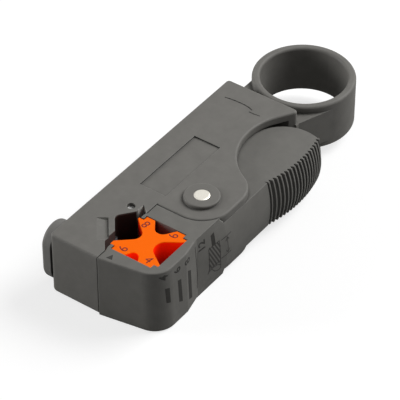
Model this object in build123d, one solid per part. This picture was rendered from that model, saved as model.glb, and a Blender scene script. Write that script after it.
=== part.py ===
from build123d import *
import math
import os

# Coaxial cable stripper, spun round the cable by a finger in its ring.
# Units are millimetres. The origin is on the rest face, under the lever pivot.
# +X runs from the jaw to the finger ring, +Y to the flat side, +Z up.

# Body frame
body_length = 76.2
pivot_setback = 33.0
thickness = 19.3
plate_thickness = 2.2
floor_thickness = 3.1
flat_side_offset = 22.55
seam_offset = 7.8
side_wall = 2.5
rear_wall = 2.9
rear_corner_y = -0.7
bay_front_offset = 9.2
front_corner_radius = 1.2
flat_corner_radius = 1.0
rear_corner_radius = 1.0
top_edge_radius = 0.6
bottom_edge_radius = 1.5

# Plate outline over the lever
hub_cover_radius = 8.5
hub_lobe_x = 5.4477
thumb_cut_y = -12.0
thumb_cut_overrun = 2.6

# Cable space in the body
cable_x = -18.1
cable_y = 9.2
cable_radius = 3.5
wall_slope = 38.0
notch_tip_radius = 1.4
relief_depth = 2.4
relief_front_inset = 1.5
relief_rear_outset = 2.9
relief_front_run = 3.1
relief_rear_run = 2.0

# Finger ring
ring_stand_off = 1.4
ring_side_stand_out = 0.05
ring_outer_radius = 14.0
ring_wall = 2.2
ring_top_inset = 2.05
ring_bottom_inset = 2.95
ring_edge_radius = 0.8
web_inset = 2.05
web_left_inset = 2.45

# Top face details
label_length = 23.5
label_width = 8.1
label_depth = 0.35
label_x = 6.95
label_y = 11.75
boss_radius = 4.7
boss_height = 1.0
boss_edge_radius = 0.35
scoop_width = 2.0
scoop_depth = 0.5
scoop_length = 8.2

# Pivot pin and its washer
pin_radius = 2.1
pin_stand_out = 0.1
pin_dome = 0.3
washer_radius = 3.7
washer_thickness = 0.5
washer_pocket_depth = 1.1

# Return spring and its anchor pin
spring_mean_radius = 4.4
spring_wire = 1.0
wire_sides = 8
spring_turns = 5
spring_pitch = 1.1
spring_post_wall = 1.4
lever_leg_length = 9.0
anchor_x = -12.8
anchor_y = 12.5
anchor_radius = 1.1
anchor_recess = 1.0
anchor_overrun = 2.4

# Blade cartridge, set square to the left wall of the cable notch
notch_wall_thickness = 2.7
cartridge_width = 5.6
cartridge_sill = 3.7
cartridge_roof = 2.6
cartridge_nose = 1.0
head_width = 10.0
head_overlap = 1.9
head_thickness = 2.95
head_edge_radius = 1.0
head_shift = 0.5

# Blades, springs, screws and inserts in the cartridge
blade_spacing = 6.0
blade_stand_out = 0.6
blade_thickness = 0.5
blade_neck_width = 2.6
blade_tail_width = 4.0
blade_tail_length = 3.0
blade_bevel = 0.8
blade_spring_length = 3.0
blade_spring_wire = 0.4
blade_spring_turns = 4
blade_bore_radius = 2.2
screw_radius = 1.25
screw_length = 5.6
screw_socket_across = 1.3
screw_socket_depth = 1.5
insert_length = 3.0
insert_gap = 1.9

# Jaw and lever
jaw_front_slope = 9.9
jaw_side_offset = 9.1
jaw_side_spread = 0.55
jaw_step_spread = 0.4
jaw_corner_radius = 6.0
jaw_step_x = -13.2
jaw_swell_x = -19.2
lever_side_inset = 0.75
jaw_edge_radius = 0.4
lever_hub_inset = 0.3
lever_inner_offset = 4.5
lever_inner_radius = 10.5

# Lever side and ribbed grip
side_top_offset = 8.5
side_middle_offset = 9.7
side_bottom_offset = 9.2
side_core_offset = 6.0
side_bulge = 0.03
side_full_x = -2.6
side_top_lip = 7.8
side_bottom_lip = 8.4
grip_start_x = 16.4
grip_end_setback = 0.5
grip_end_drift = 0.8
grip_bottom_drift = -0.1
grip_swell = 1.7
grip_ridge = 0.4
rib_count = 18
rib_depth = 0.85

# Cable cassette and its pocket
cassette_side = 14.6
cassette_x = -20.8
cassette_stand_out = 0.8
cassette_notch = 1.4
cassette_sink = 0.3
pocket_floor = 2.5
floor_slot_radius = 5.6
floor_slot_stand_out = 1.0
tooth_stand_out = 0.4
groove_offset = 0.4
large_groove = (5.2, 5.2, 3.1)
cable_groove = (5.0, 4.5, 2.4)
medium_groove = (3.4, 3.4, 2.1)
small_groove = (2.1, 2.4, 1.4)

# Clearances
seam_gap = 0.2
hub_gap = 0.2
slide_gap = 0.1
jaw_inset = 0.1
lever_rear_gap = 0.4
pocket_gap = 0.1
pin_gap = 0.03
blade_gap = 0.1
cartridge_gap = 0.1
seat_gap = 0.02
thread_gap = 0.05
spring_gap = 0.3
spring_headroom = 0.6

# Places worked out from the sizes
front_x = -pivot_setback
rear_x = body_length - pivot_setback
bay_rear_x = rear_x - rear_wall
bay_height = thickness - plate_thickness - floor_thickness
relief_y = seam_offset + relief_depth
relief_front_x = cassette_x - cassette_side / 2 + relief_front_inset
relief_rear_x = cassette_x + cassette_side / 2 + relief_rear_outset
slope = math.radians(wall_slope)
notch_apex_y = cable_y + cable_radius / math.cos(slope)
notch_half_mouth = (notch_apex_y - relief_y) / math.tan(slope)
lever_floor_z = floor_thickness + slide_gap
lever_height = bay_height - 2 * slide_gap
lever_top_z = lever_floor_z + lever_height
jaw_top_z = thickness - jaw_inset
jaw_face_y = seam_offset - seam_gap
cassette_y = jaw_face_y + cassette_stand_out - cassette_side / 2
lever_rear_radius = bay_rear_x - lever_rear_gap
grip_end_x = lever_rear_radius - grip_end_setback
spring_floor_z = lever_top_z - spring_pitch * spring_turns - spring_wire - spring_headroom
hub_reach = hub_cover_radius + hub_gap
lever_side_offset = hub_reach - lever_side_inset
lever_hub_radius = hub_cover_radius - lever_hub_inset
ring_inner_radius = ring_outer_radius - ring_wall
ring_x = rear_x + ring_stand_off + ring_outer_radius
ring_y = flat_side_offset + ring_side_stand_out - ring_outer_radius
ring_height = thickness - ring_top_inset - ring_bottom_inset
ring_level = ring_bottom_inset + ring_height / 2
web_height = ring_height - 2 * web_inset
web_left_y = flat_side_offset - web_left_inset
cassette_height = thickness - pocket_floor - cassette_sink - jaw_inset
cartridge_height = thickness - cartridge_sill - cartridge_roof
cartridge_level = cartridge_sill + cartridge_height / 2
head_height = cartridge_height + 2 * head_overlap
chamber_t = cable_radius + notch_wall_thickness
flat_side_t = (flat_side_offset - cable_y) / math.cos(slope)
outside_t = flat_side_t + 4 * head_thickness
head_x = cable_x - (flat_side_offset - cable_y) * math.tan(slope) + head_shift
nose_t = chamber_t + cartridge_gap
bore_t = nose_t + cartridge_nose
shoulder_t = bore_t + blade_spring_length
tail_t = shoulder_t + blade_tail_length
insert_t = tail_t + insert_gap
blade_levels = {"upper": cartridge_level + blade_spacing / 2, "lower": cartridge_level - blade_spacing / 2}


def plan_arc(centre, radius, start, turn):
    """Arc in the plan, from a start angle through a turn, both in degrees."""
    return CenterArc((centre[0], centre[1], 0), radius, start, turn)


def plan_lines(points):
    """Straight plan edges through the points in order."""
    return [Line(a, b) for a, b in zip(points, points[1:])]


def plan_face(edges):
    """Face inside a closed loop of plan edges."""
    return make_face(Wire(edges))


def prism(face, bottom, height):
    """Upright solid on a plan face."""
    return Pos(0, 0, bottom) * extrude(face, height)


def drum(x, y, radius, bottom, height):
    """Upright cylinder."""
    return Pos(x, y, bottom + height / 2) * Cylinder(radius, height)


def touch_point(point, centre, radius, side):
    """Where the tangent from a point meets a circle, on the side +1 or -1."""
    dx = point[0] - centre[0]
    dy = point[1] - centre[1]
    angle = math.atan2(dy, dx) + side * math.acos(radius / math.hypot(dx, dy))
    return (centre[0] + radius * math.cos(angle), centre[1] + radius * math.sin(angle))


def blade_plane(z):
    """Plane at the cable axis whose local Z points out along the blades."""
    return Plane(
        origin=(cable_x, cable_y, z),
        x_dir=(math.cos(slope), math.sin(slope), 0),
        z_dir=(-math.sin(slope), math.cos(slope), 0),
    )


def along_blade(face, z, start, end):
    """Face of the blade plane swept outwards from one distance to another."""
    return blade_plane(z) * Pos(0, 0, start) * extrude(face, end - start)


def coil(radius, wire, pitch, turns, start_angle):
    """Right-handed coil of many-sided wire about Z, from z = 0 upwards."""
    path = Helix(pitch=pitch, height=pitch * turns, radius=radius)
    section = Plane(origin=path @ 0, z_dir=path % 0) * RegularPolygon(wire / 2, wire_sides)
    return Rot(0, 0, start_angle) * sweep(section, path=path, is_frenet=True)


def cable_notch_edges():
    """Mating side of the body, from the hub corner to the front corner."""
    left_touch = (cable_x - notch_tip_radius * math.sin(slope), 0)
    tip_y = notch_apex_y - notch_tip_radius / math.cos(slope)
    left_top = (left_touch[0], tip_y + notch_tip_radius * math.cos(slope))
    right_top = (2 * cable_x - left_top[0], left_top[1])
    to_notch = plan_lines(
        [
            (-hub_cover_radius, seam_offset),
            (relief_rear_x - relief_rear_run, seam_offset),
            (relief_rear_x, relief_y),
            (cable_x + notch_half_mouth, relief_y),
            right_top,
        ]
    )
    tip = plan_arc((cable_x, tip_y), notch_tip_radius, 90 - wall_slope, 2 * wall_slope)
    from_notch = plan_lines(
        [
            left_top,
            (cable_x - notch_half_mouth, relief_y),
            (relief_front_x, relief_y),
            (relief_front_x - relief_front_run, seam_offset),
            (front_x, seam_offset),
        ]
    )
    return to_notch + [tip] + from_notch


def plate_face():
    """Plan of the plates; the thumb cut spans from the lobe beside the hub to the rear corner."""
    span = rear_x + thumb_cut_overrun - hub_lobe_x
    radius = (span**2 + thumb_cut_y**2 - hub_cover_radius**2) / (2 * (span + hub_cover_radius))
    cut_centre = (hub_lobe_x + span - radius, thumb_cut_y)
    corner = (rear_x, rear_corner_y)
    line_end = touch_point(corner, cut_centre, radius, 1)
    lobe_angle = math.degrees(math.atan2(-thumb_cut_y, hub_lobe_x - cut_centre[0]))
    line_angle = math.degrees(math.atan2(line_end[1] - thumb_cut_y, line_end[0] - cut_centre[0]))
    edges = plan_lines(
        [
            (front_x, seam_offset),
            (front_x, flat_side_offset),
            (rear_x, flat_side_offset),
            corner,
            line_end,
        ]
    )
    edges.append(plan_arc(cut_centre, radius, line_angle, lobe_angle - line_angle))
    edges.append(plan_arc((hub_lobe_x, 0), hub_cover_radius, lobe_angle - 180, 90 - lobe_angle))
    edges += plan_lines([(hub_lobe_x, -hub_cover_radius), (0, -hub_cover_radius)])
    edges.append(plan_arc((0, 0), hub_cover_radius, 270, -90))
    edges += plan_lines([(-hub_cover_radius, 0), (-hub_cover_radius, seam_offset)])
    return plan_face(edges + cable_notch_edges())


def bay():
    """Space between the plates in which the lever swings."""
    low = (-bay_front_offset, -2 * hub_cover_radius)
    high = (bay_rear_x, flat_side_offset - side_wall)
    centre = ((low[0] + high[0]) / 2, (low[1] + high[1]) / 2)
    face = Pos(*centre) * Rectangle(high[0] - low[0], high[1] - low[1])
    return prism(face, floor_thickness, bay_height)


def ring_and_web():
    """Finger ring joined to the rear wall by a web that touches its right side."""
    centre = (ring_x, ring_y)
    ring = drum(ring_x, ring_y, ring_outer_radius, ring_level - ring_height / 2, ring_height)
    hole = drum(ring_x, ring_y, ring_inner_radius, 0, thickness)
    ring = fillet((ring - hole).edges().filter_by(GeomType.CIRCLE), ring_edge_radius)
    root_x = rear_x - rear_wall / 2
    rounding = rear_corner_radius * (1 - math.sqrt(0.5))
    low = (rear_x - rounding, rear_corner_y + rounding)
    left_x = ring_x - math.sqrt(ring_outer_radius**2 - (web_left_y - ring_y) ** 2)
    outline = [
        (root_x, low[1]),
        low,
        touch_point(low, centre, ring_outer_radius, 1),
        centre,
        (left_x, web_left_y),
        (root_x, web_left_y),
    ]
    web = prism(Polygon(*outline, align=None), ring_level - web_height / 2, web_height)
    return ring, web - hole


def spring_leg_line():
    """Start point, direction and end angle of the spring leg that meets the anchor pin."""
    reach = math.hypot(anchor_x, anchor_y)
    bearing = math.degrees(math.atan2(anchor_y, anchor_x))
    offset = spring_mean_radius - anchor_radius - spring_wire / 2 - seat_gap
    end_angle = bearing - math.degrees(math.acos(offset / reach))
    turn = math.radians(end_angle)
    start = (spring_mean_radius * math.cos(turn), spring_mean_radius * math.sin(turn))
    direction = (-math.sin(turn), math.cos(turn))
    length = math.sqrt(reach**2 - offset**2) + anchor_overrun
    return start, direction, end_angle, length


def leg_bar(start, direction, length, z, width, height):
    """Level bar along a spring leg, for the slots that the leg lies in."""
    sideways = (direction[1], -direction[0], 0)
    plane = Plane(origin=(*start, z), x_dir=sideways, z_dir=(*direction, 0))
    return plane * extrude(Rectangle(width, height), length)


def scoop():
    """Shallow ramp in the top face that ends at the wall behind the cable notch."""
    section = Polygon((1, 0), (1, scoop_depth), (0, scoop_depth), (-scoop_width, 0), align=None)
    plane = Plane(
        origin=(relief_front_x, relief_y, thickness),
        x_dir=(math.sin(slope), -math.cos(slope), 0),
        z_dir=(math.cos(slope), math.sin(slope), 0),
    )
    return plane * extrude(section, scoop_length)


def upright_edge(solid, x, y):
    """The vertical edge of a solid at a place in the plan."""
    return solid.edges().filter_by(Axis.Z).sort_by_distance((x, y, thickness / 2))[0]


def outer_rim(body, z):
    """Edges round the front, flat side, rear and thumb cut at one level."""
    level = body.edges().filter_by_position(Axis.Z, z - 0.01, z + 0.01)
    return [edge for edge in level if not on_mating_side(edge)]


def on_mating_side(edge):
    """Whether an edge belongs to the seam and the cable notch, not to the outer rim."""
    middle = edge.center()
    return front_x + 0.1 < middle.X < -hub_cover_radius - 0.1 and middle.Y < notch_apex_y + 0.1


def body_frame():
    """One moulding: two plates, three walls, the front block and the finger ring."""
    body = prism(plate_face(), 0, thickness)
    corners = {
        (front_x, flat_side_offset): front_corner_radius,
        (rear_x, flat_side_offset): flat_corner_radius,
        (rear_x, rear_corner_y): rear_corner_radius,
    }
    for (x, y), radius in corners.items():
        body = fillet(upright_edge(body, x, y), radius)
    body = fillet(outer_rim(body, thickness), top_edge_radius)
    body = fillet(outer_rim(body, 0), bottom_edge_radius)
    ring, web = ring_and_web()
    body = body - bay() + web + ring
    body += drum(0, 0, boss_radius, thickness - plate_thickness, plate_thickness + boss_height)
    rim = body.edges().filter_by(GeomType.CIRCLE).sort_by(Axis.Z)[-1]
    body = fillet(rim, boss_edge_radius)

    body -= drum(0, 0, pin_radius + pin_gap, -1, thickness + boss_height + 2)
    body -= drum(0, 0, washer_radius + pin_gap, -1, washer_pocket_depth + 1)
    body -= drum(anchor_x, anchor_y, anchor_radius + seat_gap, -1, thickness + 2)
    label = Rectangle(label_length, label_width)
    body -= Pos(label_x, label_y, thickness - label_depth) * extrude(label, 1)
    body -= scoop()

    chamber = Rectangle(cartridge_width + 2 * cartridge_gap, cartridge_height + 2 * cartridge_gap)
    body -= along_blade(chamber, cartridge_level, chamber_t, outside_t)
    slot = Rectangle(blade_neck_width + 2 * blade_gap, blade_thickness + 2 * blade_gap)
    for z in blade_levels.values():
        body -= along_blade(slot, z, 0, chamber_t + 1)

    start, direction, _, length = spring_leg_line()
    leg_slot = spring_wire + 2 * spring_gap
    body -= leg_bar(start, direction, length + spring_gap, anchor_leg_z(), leg_slot, leg_slot)
    return body


def anchor_leg_z():
    """Height of the spring leg that meets the anchor pin."""
    _, _, end_angle, _ = spring_leg_line()
    turns = spring_turns + (end_angle - 90) / 360
    return spring_floor_z + spring_wire / 2 + seat_gap + spring_pitch * turns


def return_spring():
    """Torsion spring round the hub post, with one leg in the lever and one on the anchor pin."""
    start, direction, end_angle, length = spring_leg_line()
    turns = spring_turns + (end_angle - 90) / 360
    floor = spring_floor_z + spring_wire / 2 + seat_gap
    spring = Pos(0, 0, floor) * coil(spring_mean_radius, spring_wire, spring_pitch, turns, 90)
    lever_leg = Plane(origin=(0, spring_mean_radius, floor), z_dir=(1, 0, 0))
    anchor_leg = Plane(origin=(*start, anchor_leg_z()), z_dir=(*direction, 0))
    section = Circle(spring_wire / 2 - seat_gap)
    root = Pos(0, 0, -spring_wire / 2)
    spring += lever_leg * root * extrude(section, lever_leg_length)
    spring += anchor_leg * root * extrude(section, length)
    return spring


def pivot_pin():
    """Steel pivot with a bevelled head end and a tail flush with the rest face."""
    pin = drum(0, 0, pin_radius, 0, thickness + boss_height + pin_stand_out)
    head = pin.edges().filter_by(GeomType.CIRCLE).sort_by(Axis.Z)[-1]
    return chamfer(head, pin_dome / 2, pin_dome)


def pin_washer():
    """Steel push-on washer that holds the pin's tail in the bottom plate."""
    top = washer_pocket_depth
    ring = drum(0, 0, washer_radius, top - washer_thickness, washer_thickness)
    return ring - drum(0, 0, pin_radius + pin_gap, -1, thickness)


def anchor_pin():
    """Steel dowel through the front block that takes the spring's force."""
    return drum(anchor_x, anchor_y, anchor_radius, anchor_recess, thickness - 2 * anchor_recess)


def blade_cartridge():
    """Moulded blade holder whose oblong head stands out of the flat side."""
    neck = Rectangle(cartridge_width, cartridge_height)
    holder = along_blade(neck, cartridge_level, nose_t, outside_t)
    holder -= Pos(0, flat_side_offset + body_length, 0) * Box(4 * body_length, 2 * body_length, body_length)
    plane = Plane(origin=(head_x, flat_side_offset, cartridge_level), x_dir=(1, 0, 0), z_dir=(0, 1, 0))
    straight = head_height - head_width
    outline = Rectangle(head_width, straight)
    outline += Pos(0, straight / 2) * Circle(head_width / 2)
    outline += Pos(0, -straight / 2) * Circle(head_width / 2)
    head = plane * extrude(outline, head_thickness)
    rim = head.faces().sort_by(Axis.Y)[-1].edges()
    holder += fillet(rim, head_edge_radius)
    for z in blade_levels.values():
        slot = Rectangle(blade_neck_width + 2 * blade_gap, blade_thickness + 2 * blade_gap)
        holder -= along_blade(slot, z, nose_t - 1, bore_t + 1)
        holder -= along_blade(Circle(blade_bore_radius), z, bore_t, insert_t + insert_length)
        holder -= along_blade(Circle(screw_radius + 3 * thread_gap), z, bore_t, outside_t)
    return holder


def blade(z):
    """Flat blade with a bevelled edge, a narrow neck and a wide tail."""
    tip = cable_radius - blade_stand_out
    half = blade_thickness / 2
    body = along_blade(Rectangle(blade_neck_width, blade_thickness), z, tip, shoulder_t)
    body += along_blade(Rectangle(blade_tail_width, blade_thickness), z, shoulder_t, tail_t)
    bevel = Polygon((tip - 1, half + 1), (tip - 1, -half), (tip, -half), (tip + blade_bevel, half),
                    (tip + blade_bevel, half + 1), align=None)
    plane = Plane(
        origin=(cable_x, cable_y, z),
        x_dir=(-math.sin(slope), math.cos(slope), 0),
        z_dir=(-math.cos(slope), -math.sin(slope), 0),
    )
    return body - plane * extrude(bevel, blade_neck_width, both=True)


def blade_spring(z):
    """Small compression spring round the blade's neck."""
    mean = blade_bore_radius - seat_gap - blade_spring_wire / 2
    free = blade_spring_length - blade_spring_wire - 2 * seat_gap
    turns = coil(mean, blade_spring_wire, free / blade_spring_turns, blade_spring_turns, 0)
    return blade_plane(z) * Pos(0, 0, bore_t + seat_gap + blade_spring_wire / 2) * turns


def depth_screw(z):
    """Hex-socket set screw that sets the blade's depth."""
    start = tail_t + seat_gap
    end = start + screw_length
    screw = along_blade(Circle(screw_radius), z, start, end)
    socket = RegularPolygon(screw_socket_across / 2, 6, major_radius=False)
    return screw - along_blade(socket, z, end - screw_socket_depth, end + 1)


def thread_insert(z):
    """Brass threaded bush pressed into the cartridge."""
    end = insert_t + insert_length
    outer = along_blade(Circle(blade_bore_radius - seat_gap), z, insert_t, end)
    return outer - along_blade(Circle(screw_radius + thread_gap), z, insert_t - 1, end + 1)


def jaw_face(side_offset, step_offset):
    """Plan of the full-height jaw, from the seam round to the hub arc."""
    slant = math.radians(jaw_front_slope)
    corner = (front_x + (jaw_face_y + side_offset) * math.tan(slant), -side_offset)
    tangent = jaw_corner_radius * math.tan((math.pi / 2 - slant) / 2)
    on_front = (corner[0] - tangent * math.sin(slant), corner[1] + tangent * math.cos(slant))
    on_side = (corner[0] + tangent, corner[1])
    hub_end = math.degrees(math.asin(step_offset / hub_reach))
    hub_point = (-hub_reach * math.cos(math.radians(hub_end)), -step_offset)
    left_wall_x = cassette_x - cassette_side / 2 - pocket_gap
    right_wall_x = cassette_x + cassette_side / 2 + pocket_gap
    tooth_y = jaw_face_y + tooth_stand_out
    tooth = cassette_notch - pocket_gap
    edges = plan_lines(
        [
            (-hub_reach, 0),
            (-hub_reach, jaw_face_y),
            (relief_rear_x - relief_rear_run, jaw_face_y),
            (right_wall_x, tooth_y),
            (right_wall_x - tooth, tooth_y),
            (left_wall_x + tooth, tooth_y),
            (left_wall_x, tooth_y),
            (relief_front_x - relief_front_run, jaw_face_y),
            (front_x, jaw_face_y),
            on_front,
        ]
    )
    centre = (on_side[0], on_side[1] + jaw_corner_radius)
    edges.append(plan_arc(centre, jaw_corner_radius, 180 + jaw_front_slope, 90 - jaw_front_slope))
    edges += plan_lines(
        [
            on_side,
            (jaw_swell_x, -side_offset),
            (jaw_step_x, -step_offset),
            hub_point,
        ]
    )
    edges.append(plan_arc((0, 0), hub_reach, 180 + hub_end, -hub_end))
    return plan_face(edges)


def jaw_rim(jaw, z):
    """Edges round the front, corner and side of the jaw at one level."""
    level = jaw.edges().filter_by_position(Axis.Z, z - 0.01, z + 0.01)
    return [edge for edge in level if edge.center().X < jaw_step_x and edge.center().Y < jaw_face_y - 0.5]


def pocket_face():
    """Plan of the cassette pocket, open to the seam, with a tooth in each corner."""
    side = cassette_side + 2 * pocket_gap
    tooth = cassette_notch - pocket_gap
    face = Pos(cassette_x, cassette_y) * Rectangle(side, side)
    mouth_width = side - 2 * tooth
    face += Pos(cassette_x, seam_offset) * Rectangle(mouth_width, side / 2)
    for sx in (-1, 1):
        for sy in (-1, 1):
            x = cassette_x + sx * (side - tooth) / 2
            y = cassette_y + sy * (side - tooth) / 2
            face -= Pos(x, y) * Rectangle(tooth, tooth)
    return face


def lever_middle():
    """Middle layer of the lever between the plates: hub, arm and rounded grip end."""
    low_y = -side_core_offset - 0.8
    deep_y = low_y - lever_inner_radius / 2
    low_turn = math.degrees(math.asin(deep_y / lever_rear_radius))
    high_turn = math.degrees(math.asin(lever_inner_offset / lever_rear_radius))
    high_x = lever_rear_radius * math.cos(math.radians(high_turn))
    low_x = lever_rear_radius * math.cos(math.radians(low_turn))
    end = plan_arc((0, 0), lever_rear_radius, low_turn, high_turn - low_turn)
    sides = plan_lines([(high_x, lever_inner_offset), (0, lever_hub_radius), (0, deep_y), (low_x, deep_y)])
    arm = plan_face([end] + sides)
    corners = arm.vertices().filter_by_position(Axis.X, lever_rear_radius / 2, lever_rear_radius)
    arm = fillet(corners.sort_by(Axis.Y)[-1], lever_inner_radius)
    arm -= Pos(lever_rear_radius / 2, low_y - lever_inner_radius) * Rectangle(
        2 * lever_rear_radius, 2 * lever_inner_radius
    )
    face = Circle(lever_hub_radius)
    bridge_x = -bay_front_offset - 3
    bridge = Pos(bridge_x / 2, (jaw_face_y + low_y) / 2) * Rectangle(-bridge_x, jaw_face_y - low_y)
    return face, bridge, arm


def side_section(x, offsets, lips=None):
    """Section across the lever side at one X: curved outer edge and, behind the jaw, two lips."""
    inner = -side_core_offset
    top_y, middle_y, bottom_y = [-offset for offset in offsets]
    top = (x, top_y, lever_top_z)
    bottom = (x, bottom_y, lever_floor_z)
    outer = ThreePointArc(top, (x, middle_y, (lever_floor_z + lever_top_z) / 2), bottom)
    if lips:
        top_lip, bottom_lip = lips
        rest = [bottom, (x, -bottom_lip, jaw_inset), (x, inner, jaw_inset), (x, inner, jaw_top_z),
                (x, -top_lip, jaw_top_z), top]
    else:
        rest = [bottom, (x, inner, lever_floor_z), (x, inner, lever_top_z), top]
    return Face(Wire(plan_lines(rest) + [outer]))


def jaw_reach(z):
    """Outward reach of the jaw's side at the step, which leans out towards the bottom."""
    return lever_side_offset + jaw_step_spread * (jaw_top_z - z) / (jaw_top_z - jaw_inset)


def lever_side():
    """Outer side of the lever: full height behind the jaw, then plain, then the ribbed grip."""
    plain = [side_top_offset, side_middle_offset, side_bottom_offset]
    flush = [jaw_reach(lever_top_z), jaw_reach(thickness / 2) + side_bulge, jaw_reach(lever_floor_z)]
    behind_jaw = loft(
        [
            side_section(jaw_step_x, flush, [jaw_reach(jaw_top_z), jaw_reach(jaw_inset)]),
            side_section(side_full_x, plain, [side_top_lip, side_bottom_lip]),
        ],
        ruled=True,
    )
    cover = drum(0, 0, hub_reach, 0, thickness)
    behind_jaw -= cover - drum(0, 0, 2 * hub_cover_radius, lever_floor_z, lever_height)
    side = behind_jaw + loft([side_section(x, plain) for x in (side_full_x, grip_start_x)], ruled=True)
    sections = []
    steps = 2 * rib_count
    for step in range(steps + 1):
        share = step / steps
        swell = 4 * grip_swell * share * (1 - share)
        ridge = 4 * grip_ridge * share * (1 - share)
        cut = rib_depth if step % 2 == 0 else 0
        reach = [
            side_top_offset + grip_end_drift * share + swell - cut,
            side_middle_offset + grip_end_drift * share + swell + ridge - cut,
            side_bottom_offset + grip_bottom_drift * share + swell - cut,
        ]
        x = grip_start_x + (grip_end_x - grip_start_x) * share
        sections.append(side_section(x, reach))
    return side + loft(sections, ruled=True)


def jaw_lever():
    """One moulding: jaw block with the cassette pocket, hub, arm and ribbed grip."""
    bottom = jaw_face(jaw_side_offset + jaw_side_spread, lever_side_offset + jaw_step_spread)
    top = jaw_face(jaw_side_offset, lever_side_offset)
    jaw = loft([Pos(0, 0, jaw_inset) * bottom, Pos(0, 0, jaw_top_z) * top], ruled=True)
    for z in (jaw_inset, jaw_top_z):
        jaw = fillet(jaw_rim(jaw, z), jaw_edge_radius)
    pocket_bottom = jaw_inset + pocket_floor
    jaw -= prism(pocket_face(), pocket_bottom, thickness)
    slot = Pos(cassette_x + groove_offset, jaw_face_y + floor_slot_stand_out) * Circle(floor_slot_radius)
    jaw -= prism(slot, -1, thickness)

    hub, bridge, arm = lever_middle()
    lever = prism(hub, lever_floor_z, lever_height) + prism(arm, lever_floor_z, lever_height)
    trim = prism(Circle(lever_rear_radius), 0, thickness)
    lever += lever_side() & trim
    lever += prism(bridge, lever_floor_z, lever_height) - prism(pocket_face(), 0, thickness)
    lever += jaw

    lever -= drum(0, 0, pin_radius + pin_gap, -1, thickness + 2)
    outer = spring_mean_radius + spring_wire / 2 + spring_gap
    pocket = drum(0, 0, outer, spring_floor_z, thickness)
    pocket -= drum(0, 0, pin_radius + spring_post_wall, spring_floor_z, thickness)
    lever -= pocket
    return lever - lever_leg_slot() - leg_sweep()


def lever_leg_slot():
    """Groove in the arm that takes the spring's lower leg."""
    width = spring_wire + 2 * seat_gap
    length = lever_leg_length + spring_gap
    box = Box(length, width, thickness, align=(Align.MIN, Align.CENTER, Align.MIN))
    return Pos(0, spring_mean_radius, spring_floor_z) * box


def leg_sweep():
    """Gap in the hub wall through which the spring's upper leg leaves."""
    _, _, end_angle, _ = spring_leg_line()
    low = anchor_leg_z() - spring_wire / 2 - spring_gap
    reach = lever_hub_radius + 6
    first = end_angle - 35
    last = end_angle + 75
    arc = plan_arc((0, 0), reach, first, last - first)
    a = (reach * math.cos(math.radians(first)), reach * math.sin(math.radians(first)))
    b = (reach * math.cos(math.radians(last)), reach * math.sin(math.radians(last)))
    sector = plan_face([Line((0, 0), a), arc, Line(b, (0, 0))])
    sector -= Circle(spring_mean_radius)
    return prism(sector, low, thickness)


def groove(size):
    """Cable groove in the side of the cassette: mouth half-width, depth and bottom radius."""
    half_mouth, depth, radius = size
    centre = (0, radius - depth)
    left = touch_point((-half_mouth, 0), centre, radius, 1)
    right = touch_point((half_mouth, 0), centre, radius, -1)
    mouth = [(half_mouth, 0), (half_mouth, radius), (-half_mouth, radius), (-half_mouth, 0)]
    return Polygon(*mouth, left, centre, right, align=None) + Pos(*centre) * Circle(radius)


def cable_cassette():
    """Square block with a cable groove of its own size in each side."""
    face = Rectangle(cassette_side, cassette_side)
    for index, size in enumerate((cable_groove, small_groove, large_groove, medium_groove)):
        place = Rot(0, 0, 90 * index) * Pos(groove_offset if index == 0 else 0, cassette_side / 2)
        face -= place * groove(size)
    edge = (cassette_side - cassette_notch) / 2
    for sx in (-1, 1):
        for sy in (-1, 1):
            face -= Pos(sx * edge, sy * edge) * Rectangle(cassette_notch, cassette_notch)
    return prism(Pos(cassette_x, cassette_y) * face, jaw_inset + pocket_floor, cassette_height)


parts = {
    "body_frame": body_frame(),
    "jaw_lever": jaw_lever(),
    "cable_cassette": cable_cassette(),
    "pivot_pin": pivot_pin(),
    "pin_washer": pin_washer(),
    "return_spring": return_spring(),
    "anchor_pin": anchor_pin(),
    "blade_cartridge": blade_cartridge(),
}
for level, level_z in blade_levels.items():
    parts[f"{level}_blade"] = blade(level_z)
    parts[f"{level}_blade_spring"] = blade_spring(level_z)
    parts[f"{level}_depth_screw"] = depth_screw(level_z)
    parts[f"{level}_thread_insert"] = thread_insert(level_z)

os.makedirs("parts", exist_ok=True)
for name, solid in parts.items():
    solid.label = name
    export_step(solid, f"parts/{name}.step")
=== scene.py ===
import math

import bmesh
import bpy
from mathutils import Matrix, Vector
from mathutils.bvhtree import BVHTree


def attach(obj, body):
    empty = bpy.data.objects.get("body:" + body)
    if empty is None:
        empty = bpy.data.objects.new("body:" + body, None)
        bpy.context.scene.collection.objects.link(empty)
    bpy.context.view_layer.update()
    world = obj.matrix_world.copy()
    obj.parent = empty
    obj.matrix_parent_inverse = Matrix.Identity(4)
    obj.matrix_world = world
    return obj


MM = 0.001

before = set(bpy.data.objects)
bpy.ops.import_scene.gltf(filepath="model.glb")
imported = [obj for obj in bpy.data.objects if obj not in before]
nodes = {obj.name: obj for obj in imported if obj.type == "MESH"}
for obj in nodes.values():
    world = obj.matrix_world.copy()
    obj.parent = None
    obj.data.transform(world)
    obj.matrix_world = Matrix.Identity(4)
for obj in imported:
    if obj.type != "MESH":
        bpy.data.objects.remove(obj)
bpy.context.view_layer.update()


def add_object(name, data):
    """New object, linked into the scene."""
    made = bpy.data.objects.new(name, data)
    bpy.context.scene.collection.objects.link(made)
    return made


def away(azimuth, elevation):
    """Direction from the part towards a camera or lamp at these angles, in degrees."""
    a, e = math.radians(azimuth), math.radians(elevation)
    return Vector((math.sin(a) * math.cos(e), -math.cos(a) * math.cos(e), math.sin(e)))


# Camera at the photograph's viewing angle
DISTANCE = 622.48 * MM
TARGET = Vector((16.247, 12.328, 0.9)) * MM
FOCAL_PIXELS = 2379.4
PHOTO_PIXELS = 400
SENSOR_WIDTH = 36

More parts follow.
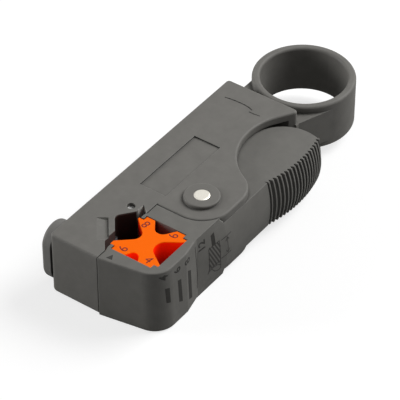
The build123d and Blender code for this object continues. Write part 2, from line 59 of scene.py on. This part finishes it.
back = away(-54.17, 40.91)
camera_data = bpy.data.cameras.new("camera")
camera_data.sensor_width = SENSOR_WIDTH
camera_data.lens = FOCAL_PIXELS / PHOTO_PIXELS * SENSOR_WIDTH
camera_data.clip_start = 0.05
camera_data.clip_end = 10
camera = add_object("camera", camera_data)
camera.location = TARGET + back * DISTANCE
camera.rotation_mode = "QUATERNION"
camera.rotation_quaternion = (-back).to_track_quat("-Z", "Y")
bpy.context.scene.camera = camera


# Material helpers
class Graph:
    """Short calls for building a material's node tree."""

    def __init__(self, name):
        self.material = bpy.data.materials.new(name)
        self.material.use_nodes = True
        self.tree = self.material.node_tree
        self.shader = self.tree.nodes["Principled BSDF"]

    def fill(self, socket, value):
        """Links another socket to this one, or sets its constant."""
        if isinstance(value, bpy.types.NodeSocket):
            self.tree.links.new(value, socket)
        else:
            socket.default_value = value

    def node(self, kind, inputs=None, **settings):
        made = self.tree.nodes.new(kind)
        for key, value in settings.items():
            setattr(made, key, value)
        for key, value in (inputs or {}).items():
            self.fill(made.inputs[key], value)
        return made

    def set(self, key, value):
        self.fill(self.shader.inputs[key], value)

    def noise(self, scale, detail=3, roughness=0.5, stretch=None):
        vector = self.node("ShaderNodeTexCoord").outputs["Object"]
        if stretch:
            inputs = {"Vector": vector, "Scale": stretch}
            vector = self.node("ShaderNodeMapping", inputs).outputs[0]
        inputs = {"Vector": vector, "Scale": scale, "Detail": detail, "Roughness": roughness}
        return self.node("ShaderNodeTexNoise", inputs).outputs[0]

    def ramp(self, factor, stops):
        made = self.node("ShaderNodeValToRGB", {"Fac": factor})
        elements = made.color_ramp.elements
        while len(elements) < len(stops):
            elements.new(0.5)
        for element, (place, colour) in zip(elements, stops):
            element.position = place
            element.color = (*colour, 1)
        return made.outputs[0]

    def remap(self, value, start, end, low=0.0, high=1.0):
        """Low at the start and high at the end, and held beyond them."""
        inputs = {"Value": value, "From Min": start, "From Max": end, "To Min": low, "To Max": high}
        return self.node("ShaderNodeMapRange", inputs).outputs[0]

    def bump(self, height, distance, strength, normal=None):
        inputs = {"Height": height, "Distance": distance, "Strength": strength}
        if normal is not None:
            inputs["Normal"] = normal
        return self.node("ShaderNodeBump", inputs).outputs[0]

    def soft_edges(self, radius):
        return self.node("ShaderNodeBevel", {"Radius": radius}, samples=6).outputs[0]

    def position(self):
        """Object coordinates in metres, split into X, Y and Z."""
        vector = self.node("ShaderNodeTexCoord").outputs["Object"]
        return self.node("ShaderNodeSeparateXYZ", {"Vector": vector}).outputs

    def math(self, operation, a, b=0.0):
        return self.node("ShaderNodeMath", {0: a, 1: b}, operation=operation).outputs[0]

    def product(self, first, *others):
        for other in others:
            first = self.math("MULTIPLY", first, other)
        return first

    def within(self, value, low, high, soft=0.05):
        """One between two limits, zero outside, with soft ends, all in millimetres."""
        low, high, soft = low * MM, high * MM, soft * MM
        return self.product(self.remap(value, low, low + soft), self.remap(value, high, high - soft))

    def tint(self, colour, factor, target):
        """Colour taken towards a target by a factor."""
        made = self.node("ShaderNodeMix", data_type="RGBA")
        self.tree.links.new(factor, made.inputs[0])
        self.tree.links.new(colour, made.inputs[6])
        made.inputs[7].default_value = (*target, 1)
        return made.outputs[2]

    def true_normal(self):
        return self.node("ShaderNodeNewGeometry").outputs["True Normal"]

    def steepness(self):
        """One on walls, zero on level faces."""
        upright = self.node("ShaderNodeSeparateXYZ", {"Vector": self.true_normal()}).outputs[2]
        return self.math("SUBTRACT", 1.0, self.math("ABSOLUTE", upright))


# Grey plastic
EDGE_RADIUS = 0.28 * MM
# Pale tint painted along edges as a painted highlight
EDGE_HIGHLIGHT = (0.42, 0.42, 0.39)
EDGE_HIGHLIGHT_SHARE = 0.35
# Painted shade: a dark tint in creases and recesses within this reach
CREASE_REACH = 1.1 * MM
CREASE_PAINTED_SHADE = (0.02, 0.02, 0.018)
CREASE_SHADE_SHARE = 0.75
GRAIN_DEPTH = 0.03 * MM


def grey_moulding(name, colour, shades=()):
    """Grey plastic: fine grain and faint mottling, with painted highlights along edges, painted
    shade in creases and the given painted shading on walls.
    """
    g = Graph(name)
    dark = [c * 0.93 for c in colour]
    light = [c * 1.07 for c in colour]
    tone = g.ramp(g.noise(260, 4, 0.6), [(0.3, dark), (0.7, light)])
    rounded = g.soft_edges(EDGE_RADIUS)
    normals = {0: rounded, 1: g.true_normal()}
    facing = g.node("ShaderNodeVectorMath", normals, operation="DOT_PRODUCT").outputs["Value"]
    # Painted highlight: edges, where the rounded normal turns from the true one, are tinted pale
    tone = g.tint(tone, g.remap(facing, 1.0, 0.7, 0.0, EDGE_HIGHLIGHT_SHARE), EDGE_HIGHLIGHT)
    # Painted shade: creases found by ambient occlusion are tinted dark
    occlusion = g.node("ShaderNodeAmbientOcclusion", {"Distance": CREASE_REACH}, samples=8)
    crease_shade = g.remap(occlusion.outputs["AO"], 0.92, 0.3)
    tone = g.tint(tone, g.product(crease_shade, CREASE_SHADE_SHARE), CREASE_PAINTED_SHADE)
    for shade in shades:
        mask, target = shade(g)
        tone = g.tint(tone, mask, target)
    g.set("Base Color", tone)
    g.set("Roughness", g.remap(g.noise(900, 3), 0.0, 1.0, 0.5, 0.62))
    g.set("Normal", g.bump(g.noise(3200, 2, 0.6), GRAIN_DEPTH, 0.55, rounded))
    g.set("Specular IOR Level", 0.3)
    return g.material


# Limits in millimetres; a low limit of NO_LIMIT lies far below the part
NO_LIMIT = -1000


def painted_wall_shading(x_limits, y_limits, z_limits, z_soft, strength, target):
    """Painted shading on the walls inside a box, taken towards the target: painted shade with a dark
    target, painted light with a pale one; without Z limits the box is open above and below.
    """

    def shade(g):
        x, y, z = g.position()
        factors = [g.within(x, *x_limits), g.within(y, *y_limits)]
        if z_limits:
            factors.append(g.within(z, *z_limits, z_soft))
        return g.product(*factors, g.steepness(), strength), target

    return shade


# Painted shade on the low walls of the label recess, and brownish painted shade on the step in front
# of the cable notch
label_wall_shade = painted_wall_shading((-6, 20), (7, 16.6), (18.9, 19.28), 0.02, 0.9, CREASE_PAINTED_SHADE)
front_step_shade = painted_wall_shading((-30, -22.3), (7.9, 10.4), (NO_LIMIT, 19.2), 0.3, 0.75, (0.05, 0.03, 0.026))
# Painted light: a paler step behind the notch, and a paler end wall of the scoop, so that the scoop
# fades out
rear_step_light = painted_wall_shading((-13.0, -10.3), (7.85, 10.3), None, None, 1.0, (0.5, 0.49, 0.46))
scoop_end_light = painted_wall_shading((-23.2, -18.2), (14.0, 17.6), (18.7, 19.29), 0.02, 1.0, (0.5, 0.5, 0.46))

NOTCH_CENTRE = (-18.1, 9.2)
NOTCH_REACH = 4.75


def notch_walls(g):
    """Deep shade with a red cast on the walls of the cable notch."""
    x, y, z = g.position()
    dx = g.math("ADD", x, -NOTCH_CENTRE[0] * MM)
    dy = g.math("SUBTRACT", y, NOTCH_CENTRE[1] * MM)
    reach = g.math("SQRT", g.math("ADD", g.product(dx, dx), g.product(dy, dy)))
    near = g.within(reach, NO_LIMIT, NOTCH_REACH, 0.3)
    below_top = g.within(z, NO_LIMIT, 19.2, 0.5)
    return g.product(near, below_top, g.steepness(), 0.93), (0.014, 0.003, 0.002)


# Orange plastic; heights are the cassette's foot and its level top
CASSETTE_FOOT = 0.0026
CASSETTE_TOP = 0.019
# Painted light: strengths of the glow on the lit groove walls and on the level top
PAINTED_GLOW_STRENGTH = 0.6
PAINTED_TOP_GLOW = 0.1


def orange_moulding():
    """Smooth orange plastic; down the grooves its colour is painted darker and redder as painted
    shade and a painted red cast, and painted glow lights the lit groove walls and the level top.
    """
    g = Graph("orange_moulding")
    x, y, height = g.position()
    depth = g.remap(height, CASSETTE_FOOT, CASSETTE_TOP)
    # Painted shade and a painted red cast: the colour darkens and turns redder from the level top
    # down to the foot
    stops = [
        (0.0, (0.26, 0.002, 0.0005)),
        (0.6, (0.45, 0.005, 0.001)),
        (0.97, (0.95, 0.02, 0.001)),
        (0.998, (1.0, 0.145, 0.0005)),
    ]
    g.set("Base Color", g.ramp(depth, stops))
    # Painted light: groove walls on the cassette's -X -Y side glow red, most strongly near the top
    diagonal = g.math("ADD", g.math("ADD", x, y), 19.7 * MM)
    painted_lit_side = g.remap(diagonal, 1.5 * MM, -2.5 * MM)
    painted_glow = g.product(painted_lit_side, g.steepness(), g.math("POWER", depth, 3.0))
    painted_glow_colours = [(0.985, (1.0, 0.012, 0.0)), (0.998, (1.0, 0.17, 0.0))]
    g.set("Emission Color", g.ramp(depth, painted_glow_colours))
    # Painted light: a faint glow on the level top
    level_top = g.product(g.math("GREATER_THAN", depth, 0.995), PAINTED_TOP_GLOW)
    g.set("Emission Strength", g.math("ADD", g.product(painted_glow, PAINTED_GLOW_STRENGTH), level_top))
    g.set("Roughness", g.remap(g.noise(700, 3), 0.0, 1.0, 0.36, 0.48))
    g.set("Normal", g.bump(g.noise(2600, 2), 0.012 * MM, 0.5, g.soft_edges(0.2 * MM)))
    g.set("Specular IOR Level", 0.12)
    return g.material


def metal(name, colour, low, high, scale, stretch=None, edge=0.08):
    """Metal with fine working marks, its roughness between low and high."""
    g = Graph(name)
    marks = g.noise(scale, 3, 0.6, stretch)
    dark = [c * 0.9 for c in colour]
    g.set("Base Color", g.ramp(marks, [(0.25, dark), (0.75, colour)]))
    g.set("Metallic", 1.0)
    g.set("Roughness", g.remap(marks, 0.0, 1.0, low, high))
    g.set("Normal", g.bump(marks, 0.01 * MM, 0.4, g.soft_edges(edge * MM)))
    return g.material


def ink(name, colour, rough=0.6):
    """Paint of a printed mark, a dark line of painted shade, or the matte end of a pin painted
    near-white as a painted reflection of its steel.
    """
    g = Graph(name)
    patch = g.noise(1500, 3, 0.6)
    dark = [c * 0.7 for c in colour]
    g.set("Base Color", g.ramp(patch, [(0.3, dark), (0.7, colour)]))
    g.set("Roughness", rough)
    g.set("Normal", g.bump(patch, 0.01 * MM, 0.4))
    return g.material


body_painted_shading = (label_wall_shade, front_step_shade, rear_step_light, scoop_end_light, notch_walls)
body_grey = grey_moulding("body_grey", (0.163, 0.158, 0.146), body_painted_shading)
lever_grey = grey_moulding("lever_grey", (0.157, 0.153, 0.141))
# The cartridge's grey is lighter than the body's, as painted light on its shaded head
cartridge_grey_painted_light = grey_moulding("cartridge_grey_painted_light", (0.185, 0.181, 0.172))
orange = orange_moulding()
bright_steel = metal("bright_steel", (0.9, 0.87, 0.79), 0.46, 0.52, 2600)
spring_steel = metal("spring_steel", (0.42, 0.42, 0.43), 0.28, 0.4, 900, (1, 1, 6))
blade_steel = metal("blade_steel", (0.62, 0.63, 0.65), 0.18, 0.3, 900, (6, 1, 1), 0.04)
dark_steel = metal("dark_steel", (0.09, 0.09, 0.1), 0.35, 0.5, 1200)
brass = metal("brass", (0.72, 0.53, 0.2), 0.22, 0.34, 1200, (1, 1, 5))
# The anchor pin's steel end is painted near-white as a painted reflection
pin_end_painted_reflection = ink("pin_end_painted_reflection", (0.95, 0.95, 0.93), 0.45)
# Dark paint for printed marks, and for lines of painted shade along a crease and an arrow's wall
print_and_shade_dark = ink("print_and_shade_dark", (0.028, 0.026, 0.022))
mark_grey = ink("mark_grey", (0.05, 0.047, 0.042))
mark_red = ink("mark_red", (0.24, 0.008, 0.002))

finishes = {
    "body_frame": body_grey,
    "jaw_lever": lever_grey,
    "cable_cassette": orange,
    "pivot_pin": bright_steel,
    "pin_washer": bright_steel,
    "return_spring": spring_steel,
    "anchor_pin": pin_end_painted_reflection,
    "blade_cartridge": cartridge_grey_painted_light,
}
for level in ("upper", "lower"):
    finishes[f"{level}_blade"] = blade_steel
    finishes[f"{level}_blade_spring"] = spring_steel
    finishes[f"{level}_depth_screw"] = dark_steel
    finishes[f"{level}_thread_insert"] = brass
for name, material in finishes.items():
    mesh = nodes[name].data
    mesh.materials.clear()
    mesh.materials.append(material)


# Marks: thin slabs of paint laid on the surface below them
CUT_STEP = 0.4 * MM
PAINT_TOP = 0.02 * MM
PAINT_ROOT = -0.05 * MM
PROBE_START = 3 * MM
PROBE_REACH = 8 * MM
OUTSIDE_Y = -30


def panel(origin, along, upward):
    """Frame on a surface, in metres: local X along, Y upward, Z out of the surface."""
    x = Vector(along).normalized()
    z = x.cross(Vector(upward)).normalized()
    turn = Matrix((x, z.cross(x), z)).transposed().to_4x4()
    return Matrix.Translation(Vector(origin) * MM) @ turn


def level_panel(x, y, z):
    return panel((x, y, z), (1, 0, 0), (0, 1, 0))


def turned(place, degrees):
    return place @ Matrix.Rotation(math.radians(degrees), 4, "Z")


def surface(node):
    """Search tree over a node's mesh, in world metres."""
    points = [node.matrix_world @ vertex.co for vertex in node.data.vertices]
    return BVHTree.FromPolygons(points, [tuple(face.vertices) for face in node.data.polygons])


surfaces = {name: surface(nodes[name]) for name in ("body_frame", "jaw_lever", "cable_cassette")}
riders = {"body_frame": "body", "jaw_lever": "lever", "cable_cassette": "cassette"}


def on_lever_side(x, z):
    """Point and normal of the lever's side at X and Z in millimetres, seen along +Y."""
    start = Vector((x, OUTSIDE_Y, z)) * MM
    return surfaces["jaw_lever"].ray_cast(start, Vector((0, 1, 0)))[:2]


def closed_object(name, bm, material):
    """Object of a closed mesh, its faces turned outwards."""
    bmesh.ops.recalc_face_normals(bm, faces=bm.faces)
    mesh = bpy.data.meshes.new(name)
    bm.to_mesh(mesh)
    bm.free()
    mesh.materials.append(material)
    return add_object(name, mesh)


def cut_fine(bm, axis):
    """Cuts a flat mesh across an axis, fine enough to follow a curve."""
    values = [vertex.co[axis] for vertex in bm.verts]
    normal = [0, 0, 0]
    normal[axis] = 1
    cut = min(values) + CUT_STEP
    while cut < max(values):
        spot = [0, 0, 0]
        spot[axis] = cut
        parts = bm.verts[:] + bm.edges[:] + bm.faces[:]
        bmesh.ops.bisect_plane(bm, geom=parts, plane_co=spot, plane_no=normal)
        cut += CUT_STEP


def lay(name, bm, place, material, target):
    """Drapes a flat mesh over the target node as a slab."""
    for axis in (0, 1):
        cut_fine(bm, axis)
    raised = bmesh.ops.extrude_face_region(bm, geom=bm.faces[:])["geom"]
    top = {item for item in raised if isinstance(item, bmesh.types.BMVert)}
    out = place.to_3x3() @ Vector((0, 0, 1))
    for vertex in bm.verts:
        above = place @ Vector((vertex.co.x, vertex.co.y, PROBE_START))
        found = surfaces[target].ray_cast(above, -out, PROBE_REACH)[0]
        lift = PAINT_TOP if vertex in top else PAINT_ROOT
        vertex.co = (found if found else place @ vertex.co) + out * lift
    made = closed_object(name, bm, material)
    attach(made, riders[target])


def outlines(name, shapes, place, material, target):
    """Filled closed outlines, in millimetres on the place."""
    bm = bmesh.new()
    for shape in shapes:
        bm.faces.new([bm.verts.new((x * MM, y * MM, 0)) for x, y in shape])
    lay(name, bm, place, material, target)


def numeral(name, text, weight, place, material, target):
    """Numeral centred on the place, its strokes widened by the weight."""
    curve = bpy.data.curves.new(name + "_outline", "FONT")
    curve.body = text
    curve.size = NUMERAL_SIZE
    curve.align_x = "CENTER"
    curve.align_y = "CENTER"
    curve.offset = weight * MM
    curve.fill_mode = "FRONT"
    curve.resolution_u = 4
    holder = add_object(name + "_outline", curve)
    graph = bpy.context.evaluated_depsgraph_get()
    flat = bpy.data.meshes.new_from_object(holder.evaluated_get(graph))
    bpy.data.objects.remove(holder)
    bm = bmesh.new()
    bm.from_mesh(flat)
    bpy.data.meshes.remove(flat)
    lay(name, bm, place, material, target)


def line(points, width):
    """Outlines of a drawn line: one quadrilateral for each straight run."""
    shapes = []
    for (x0, y0), (x1, y1) in zip(points, points[1:]):
        length = math.hypot(x1 - x0, y1 - y0)
        dx, dy = (x1 - x0) / length * width / 2, (y1 - y0) / length * width / 2
        shapes.append(
            [
                (x0 - dx + dy, y0 - dy - dx),
                (x1 + dx + dy, y1 + dy - dx),
                (x1 + dx - dy, y1 + dy + dx),
                (x0 - dx - dy, y0 - dy + dx),
            ]
        )
    return shapes


# Cassette numerals, each read from its own groove
NUMERAL_SIZE = 3.5 * MM
cassette_digits = {
    "cassette_numeral_8": ("8", (-15.9, 5.5), 80),
    "cassette_numeral_6": ("6", (-15.4, -2.6), 23),
    "cassette_numeral_9": ("9", (-26.4, 4.85), 184),
    "cassette_numeral_4": ("4", (-26.15, -2.8), -100),
}
for name, (text, (x, y), angle) in cassette_digits.items():
    place = turned(level_panel(x, y, 19.0), angle)
    numeral(name, text, 0.0, place, mark_red, "cable_cassette")

# Pointer on the jaw's top, and the turning arrow moulded in the plate's rear end, drawn as a dark
# line of painted shade along one of its walls
pointer = [(-31.6, 6.0), (-31.4, 4.3), (-29.8, 5.2)]
outlines("jaw_pointer", [pointer], level_panel(0, 0, 19.2), print_and_shade_dark, "jaw_lever")
plate_top = level_panel(0, 0, 19.3)
tail = [(36.35, 18.6), (36.56, 17.4), (36.7, 15.9), (36.75, 14.3)]
tail += [(36.7, 12.7), (36.5, 11.2), (36.05, 10.0)]
outlines("arrow_tail_painted_shade", line(tail, 0.34), plate_top, print_and_shade_dark, "body_frame")
head = [(35.0, 10.0), (34.98, 8.6), (35.2, 6.9)]
outlines("arrow_head_painted_shade", line(head, 0.3), plate_top, print_and_shade_dark, "body_frame")

# Size bars and numerals on the jaw's side, and a dark line of painted shade along a fine crease
# there
side = panel((0, -9.0, 0), (1, 0, 0), (0, 0, 1))
size_bars = {
    "size_bar_4": [(-27.45, 13.7), (-26.1, 13.3), (-25.95, 8.4), (-27.2, 8.9)],
    "size_bar_6": [(-22.9, 13.3), (-21.55, 12.9), (-21.2, 5.4), (-22.6, 6.1)],
    "size_bar_8": [(-18.55, 13.2), (-16.95, 12.2), (-16.6, 2.9), (-18.3, 3.6)],
}
for name, shape in size_bars.items():
    outlines(name, [shape], side, print_and_shade_dark, "jaw_lever")
size_numerals = {"4": (-27.5, 17.3), "6": (-22.8, 16.7), "8": (-18.45, 16.4), "12": (-11.25, 15.6)}
for text, (x, z) in size_numerals.items():
    found, normal = on_lever_side(x, z)
    place = turned(panel(found / MM, Vector((0, 0, 1)).cross(normal), (0, 0, 1)), 90)
    numeral("size_numeral_" + text, text, 0.06, place, print_and_shade_dark, "jaw_lever")
# Painted shade: a dark line where the crease holds shade
crease_shade = [(-14.2, 17.2), (-13.6, 11.1), (-13.4, 7.5), (-13.6, 3.3)]
outlines("side_crease_painted_shade", line(crease_shade, 0.25), side, print_and_shade_dark, "jaw_lever")

# Pictogram of a stripped cable: core, braid, jacket and the stripped length
FINE = 0.22
MEDIUM = 0.26
core = [(-7.9, 16.6), (-6.55, 16.9), (-6.5, 13.4), (-7.8, 13.2)]
outlines("cable_core", [core], side, print_and_shade_dark, "jaw_lever")

# The braid's hatching: parallel strokes that fall twice as far as they run
HATCH_LEFT, HATCH_RIGHT = -9.0, -5.1
HATCH_TOP, HATCH_FOOT = 13.2, 6.5
HATCH_SLOPE = 2
HATCH_WIDTH = 0.42
braid = [(-9.05, 13.0), (-5.2, 13.4), (-5.0, 6.9), (-8.95, 6.3), (-9.05, 13.0)]
hatch = line(braid, FINE)
for step in range(8):
    start = -11.6 + 0.95 * step
    x = max(start, HATCH_LEFT)
    y = HATCH_TOP - HATCH_SLOPE * max(0, HATCH_LEFT - start)
    drop = min(y - HATCH_FOOT, HATCH_SLOPE * (HATCH_RIGHT - x))
    if y > 7 and drop > 0.5:
        hatch += line([(x, y), (x + drop / HATCH_SLOPE, y - drop)], HATCH_WIDTH)
outlines("cable_braid", hatch, side, mark_grey, "jaw_lever")

jacket = [(-8.95, 6.3), (-9.45, 5.1), (-9.05, 5.7), (-7.8, 6.1), (-6.35, 6.1), (-5.4, 5.7)]
jacket += [(-4.7, 5.0), (-4.6, 4.0), (-5.4, 3.7), (-6.9, 4.4), (-8.1, 5.8)]
jacket_side = [(-5.0, 6.9), (-4.7, 5.0)]
jacket_lines = line(jacket, FINE) + line(jacket_side, FINE)
outlines("cable_jacket", jacket_lines, side, mark_grey, "jaw_lever")
measure = line([(-4.4, 13.1), (-0.6, 13.3)], FINE) + line([(-4.55, 7.3), (-0.95, 7.5)], FINE)
measure += line([(-2.3, 12.7), (-2.2, 7.9)], MEDIUM)
measure += line([(-2.9, 11.9), (-2.3, 12.8), (-1.7, 12.0)], MEDIUM)
measure += line([(-2.8, 8.7), (-2.2, 7.8), (-1.6, 8.7)], MEDIUM)
outlines("strip_length", measure, side, mark_grey, "jaw_lever")


# Flat crests of the grip's ribs, sunk into the lever's side
RIBS = 18
RIB_START = 16.4
RIB_PITCH = 23.0 / RIBS
CREST_FOOT = 3.22
CREST_HEIGHT = 13.76
CREST_STEPS = 10
CREST_STAND_OUT = 0.03
CREST_ROOT = 0.4
CREST_WIDTH = 0.56
CREST_TOP_SHARE = 0.42
bm = bmesh.new()
for rib in range(RIBS):
    x = RIB_START + RIB_PITCH * (rib + 0.5)
    rings = []
    for step in range(CREST_STEPS + 1):
        z = CREST_FOOT + CREST_HEIGHT * step / CREST_STEPS
        found = on_lever_side(x, z)[0]
        if not found:
            continue
        outer, inner = found.y / MM - CREST_STAND_OUT, found.y / MM + CREST_ROOT
        top_half = CREST_TOP_SHARE * CREST_WIDTH
        corners = [(x - CREST_WIDTH / 2, inner), (x - top_half, outer)]
        corners += [(x + top_half, outer), (x + CREST_WIDTH / 2, inner)]
        rings.append([bm.verts.new((px * MM, py * MM, z * MM)) for px, py in corners])
    for low, high in zip(rings, rings[1:]):
        for i in range(4):
            bm.faces.new((low[i], low[(i + 1) % 4], high[(i + 1) % 4], high[i]))
    bm.faces.new(rings[0])
    bm.faces.new(rings[-1])
crests = closed_object("grip_crests", bm, lever_grey)
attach(crests, "lever")


# Floor and light
LAMP_AIM = Vector((0.02, 0.005, 0.0))


def lamp(name, azimuth, elevation, distance, size, power):
    """Square white lamp aimed at the part."""
    direction = away(azimuth, elevation)
    data = bpy.data.lights.new(name, "AREA")
    data.size = size
    data.energy = power
    made = add_object(name, data)
    made.location = LAMP_AIM + direction * distance
    made.rotation_mode = "QUATERNION"
    made.rotation_quaternion = direction.to_track_quat("Z", "Y")


lamp("key_softbox", 60, 45, 1.0, 0.6, 9.6)
lamp("left_fill", -150, 15, 1.2, 0.6, 9.0)

# World: full white to the camera, brighter in reflections than as fill light
WORLD_FILL = 0.14
WORLD_REFLECTED = 0.6
world = bpy.data.worlds.new("studio")
bpy.context.scene.world = world
world.use_nodes = True
tree = world.node_tree
background = tree.nodes["Background"]
background.inputs[0].default_value = (1, 1, 1, 1)
rays = tree.nodes.new("ShaderNodeLightPath")
shiny = tree.nodes.new("ShaderNodeMapRange")
tree.links.new(rays.outputs["Is Glossy Ray"], shiny.inputs["Value"])
shiny.inputs["To Min"].default_value = WORLD_FILL
shiny.inputs["To Max"].default_value = WORLD_REFLECTED
brighter = tree.nodes.new("ShaderNodeMath")
brighter.operation = "MAXIMUM"
tree.links.new(rays.outputs["Is Camera Ray"], brighter.inputs[0])
tree.links.new(shiny.outputs[0], brighter.inputs[1])
tree.links.new(brighter.outputs[0], background.inputs[1])

# Floor: a wide disc just under the rest face, lifted towards white for the camera alone
FLOOR_RADIUS = 2.0
FLOOR_DROP = 0.00002
FLOOR_GREY = 0.35
FLOOR_LIFT = 0.72
floor_mesh = bpy.data.meshes.new("floor")
bm = bmesh.new()
bmesh.ops.create_circle(bm, cap_ends=True, radius=FLOOR_RADIUS, segments=64)
bm.to_mesh(floor_mesh)
bm.free()
floor = add_object("floor", floor_mesh)
floor.location = (0, 0, -FLOOR_DROP)
g = Graph("floor_white")
g.set("Base Color", (FLOOR_GREY, FLOOR_GREY, FLOOR_GREY, 1))
g.set("Roughness", 0.7)
g.set("Specular IOR Level", 0.1)
seen = g.node("ShaderNodeLightPath").outputs["Is Camera Ray"]
g.set("Emission Color", (1, 1, 1, 1))
g.set("Emission Strength", g.product(seen, FLOOR_LIFT))
floor_mesh.materials.append(g.material)

scene = bpy.context.scene
scene.view_settings.view_transform = "Standard"
